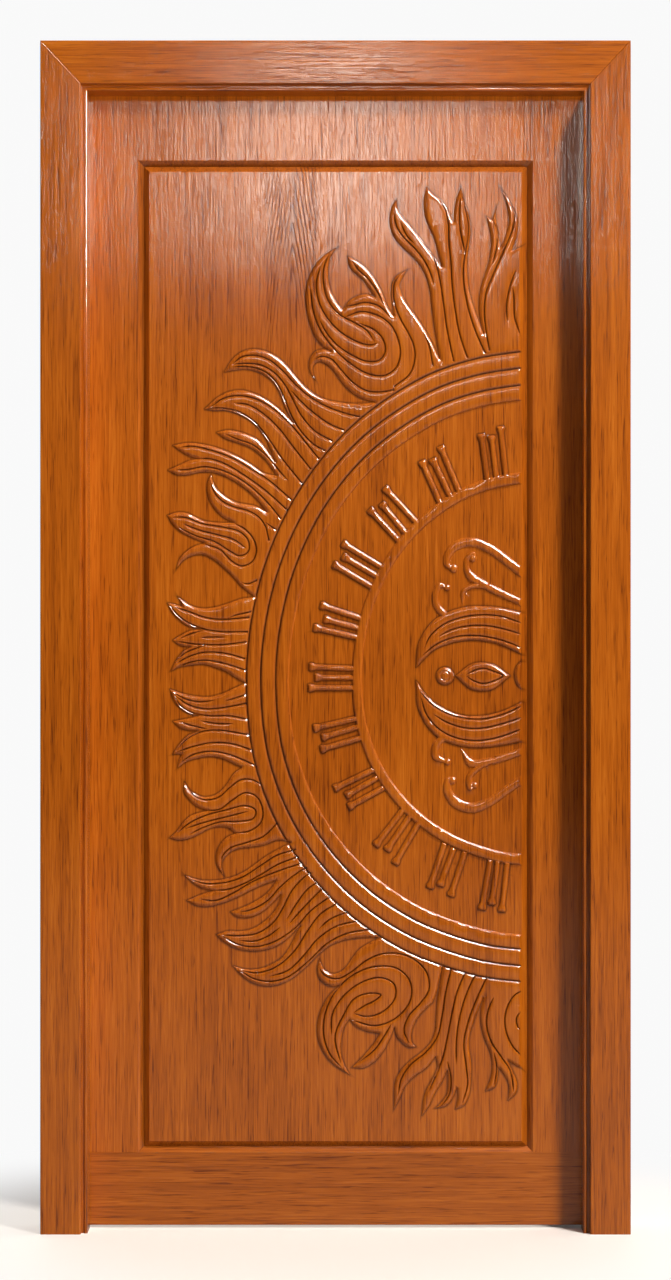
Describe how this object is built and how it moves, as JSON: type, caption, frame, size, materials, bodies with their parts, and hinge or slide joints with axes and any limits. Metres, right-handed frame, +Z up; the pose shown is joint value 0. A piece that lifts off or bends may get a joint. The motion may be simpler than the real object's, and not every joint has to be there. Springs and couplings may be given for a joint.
{
  "type": "carved wooden door with frame",
  "caption": "Hinged wooden door with a large sun carving on its panel, in a moulded frame with flat casings on both sides.",
  "frame": {"origin": "middle of the doorway's width and of the depth, on the floor", "axes": "+Z up, +X to the right seen from the carved side, -Y out of the carved side"},
  "size_m": [1.084, 0.124, 2.1915],
  "materials": {
    "panel_wood": "satin",
    "surround_wood": "satin",
    "bottom_wood": "satin",
    "frame_wood": "satin",
    "core_wood": "satin",
    "skin_wood": "satin",
    "hinge_brass": "satin",
    "screw_steel": "satin"
  },
  "bodies": {
    "frame": {"left_jamb": "frame_wood", "right_jamb": "frame_wood", "head_member": "frame_wood", "front_left_casing": "frame_wood", "front_right_casing": "frame_wood", "front_head_casing": "frame_wood", "rear_left_casing": "frame_wood", "rear_right_casing": "frame_wood", "rear_head_casing": "frame_wood", "frame_corner_screws": "screw_steel", "frame_hinge_screws": "screw_steel", "bottom_hinge_frame_leaf": "hinge_brass", "bottom_hinge_pin": "hinge_brass", "middle_hinge_frame_leaf": "hinge_brass", "middle_hinge_pin": "hinge_brass", "top_hinge_frame_leaf": "hinge_brass", "top_hinge_pin": "hinge_brass"},
    "leaf": {"carved_panel": "panel_wood", "front_surround_board": "surround_wood", "front_bottom_board": "bottom_wood", "hinge_stile_core": "core_wood", "lock_stile_core": "core_wood", "top_rail_core": "core_wood", "middle_rail_core": "core_wood", "bottom_rail_core": "core_wood", "core_battens": "core_wood", "rear_skin": "skin_wood", "door_hinge_screws": "screw_steel", "bottom_hinge_door_leaf": "hinge_brass", "middle_hinge_door_leaf": "hinge_brass", "top_hinge_door_leaf": "hinge_brass"}
  },
  "joints": [
    {"name": "leaf_swing", "type": "hinge", "parent": "frame", "child": "leaf", "pos_m": [-0.4675, 0.05575, 0], "axis": [0, 0, 1], "range_deg": [0, 170]}
  ]
}
